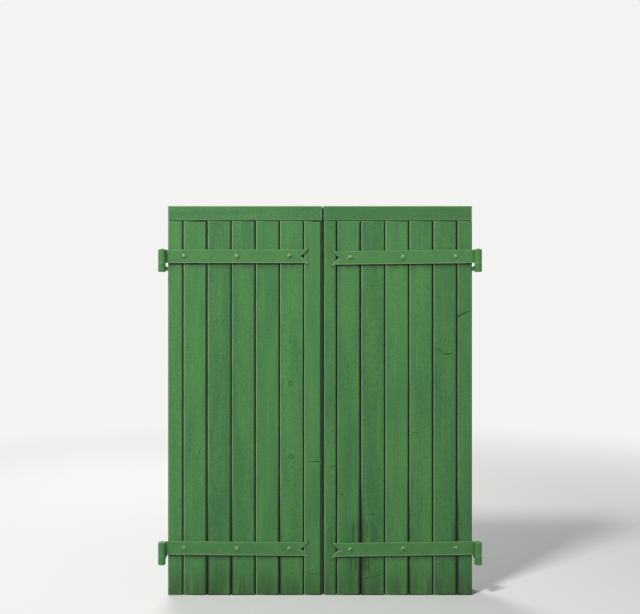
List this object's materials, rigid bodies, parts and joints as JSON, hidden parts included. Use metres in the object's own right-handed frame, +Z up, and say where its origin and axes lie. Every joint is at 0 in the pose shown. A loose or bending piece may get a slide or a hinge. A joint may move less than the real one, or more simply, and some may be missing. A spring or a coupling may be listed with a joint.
{
  "type": "window shutters",
  "caption": "Pair of ledged board shutters on strap hinges with fishtail ends and wall pintles, with their frame and sliding bolts inside.",
  "frame": {"origin": "middle of the wall opening at the foot of the closed leaves, on the plane of their outer faces", "axes": "+X to the right seen from outside, +Y into the building, +Z up"},
  "size_m": [0.9672, 0.1121, 1.167],
  "materials": {
    "painted_wood": "green paint, brushed along the boards",
    "painted_iron": "the same green paint over forged iron",
    "zinc_plated_steel": "dull zinc",
    "bright_steel": "rubbed bright"
  },
  "bodies": {
    "fixed_frame": {"left_jamb": "painted_wood", "right_jamb": "painted_wood", "frame_head": "painted_wood", "frame_bottom_rail": "painted_wood", "middle_post": "painted_wood", "frame_screws": "zinc_plated_steel", "left_upper_pintle": "painted_iron", "left_lower_pintle": "painted_iron", "right_upper_pintle": "painted_iron", "right_lower_pintle": "painted_iron"},
    "left_leaf": {"left_board_1": "painted_wood", "left_board_2": "painted_wood", "left_board_3": "painted_wood", "left_board_4": "painted_wood", "left_board_5": "painted_wood", "left_board_6": "painted_wood", "left_board_7": "painted_wood", "left_top_rail": "painted_wood", "left_upper_ledge": "painted_wood", "left_upper_strap": "painted_iron", "left_upper_bolt_plate": "painted_iron", "left_lower_ledge": "painted_wood", "left_lower_strap": "painted_iron", "left_lower_bolt_plate": "painted_iron", "left_coach_bolts": "painted_iron", "left_washers": "zinc_plated_steel", "left_nuts": "zinc_plated_steel", "left_ledge_screws": "zinc_plated_steel", "left_bolt_plate_screws": "zinc_plated_steel"},
    "right_leaf": {"right_board_1": "painted_wood", "right_board_2": "painted_wood", "right_board_3": "painted_wood", "right_board_4": "painted_wood", "right_board_5": "painted_wood", "right_board_6": "painted_wood", "right_board_7": "painted_wood", "right_top_rail": "painted_wood", "right_upper_ledge": "painted_wood", "right_upper_strap": "painted_iron", "right_upper_bolt_plate": "painted_iron", "right_lower_ledge": "painted_wood", "right_lower_strap": "painted_iron", "right_lower_bolt_plate": "painted_iron", "right_coach_bolts": "painted_iron", "right_washers": "zinc_plated_steel", "right_nuts": "zinc_plated_steel", "right_ledge_screws": "zinc_plated_steel", "right_bolt_plate_screws": "zinc_plated_steel"},
    "left_upper_slide": {"left_upper_sliding_bolt": "bright_steel", "left_upper_bolt_knob": "painted_iron"},
    "left_lower_slide": {"left_lower_sliding_bolt": "bright_steel", "left_lower_bolt_knob": "painted_iron"},
    "right_upper_slide": {"right_upper_sliding_bolt": "bright_steel", "right_upper_bolt_knob": "painted_iron"},
    "right_lower_slide": {"right_lower_sliding_bolt": "bright_steel", "right_lower_bolt_knob": "painted_iron"}
  },
  "joints": [
    {"name": "left_leaf_swing", "type": "hinge", "parent": "fixed_frame", "child": "left_leaf", "pos_m": [-0.4725, -0.01105, 0.122], "axis": [0, 0, -1], "range_deg": [0, 180]},
    {"name": "right_leaf_swing", "type": "hinge", "parent": "fixed_frame", "child": "right_leaf", "pos_m": [0.4725, -0.01105, 0.122], "axis": [0, 0, 1], "range_deg": [0, 180]},
    {"name": "left_upper_bolt_slide", "type": "slide", "parent": "left_leaf", "child": "left_upper_slide", "axis": [0, 0, 1], "range_m": [0, 0.02]},
    {"name": "left_lower_bolt_slide", "type": "slide", "parent": "left_leaf", "child": "left_lower_slide", "axis": [0, 0, -1], "range_m": [0, 0.02]},
    {"name": "right_upper_bolt_slide", "type": "slide", "parent": "right_leaf", "child": "right_upper_slide", "axis": [0, 0, 1], "range_m": [0, 0.02]},
    {"name": "right_lower_bolt_slide", "type": "slide", "parent": "right_leaf", "child": "right_lower_slide", "axis": [0, 0, -1], "range_m": [0, 0.02]}
  ]
}
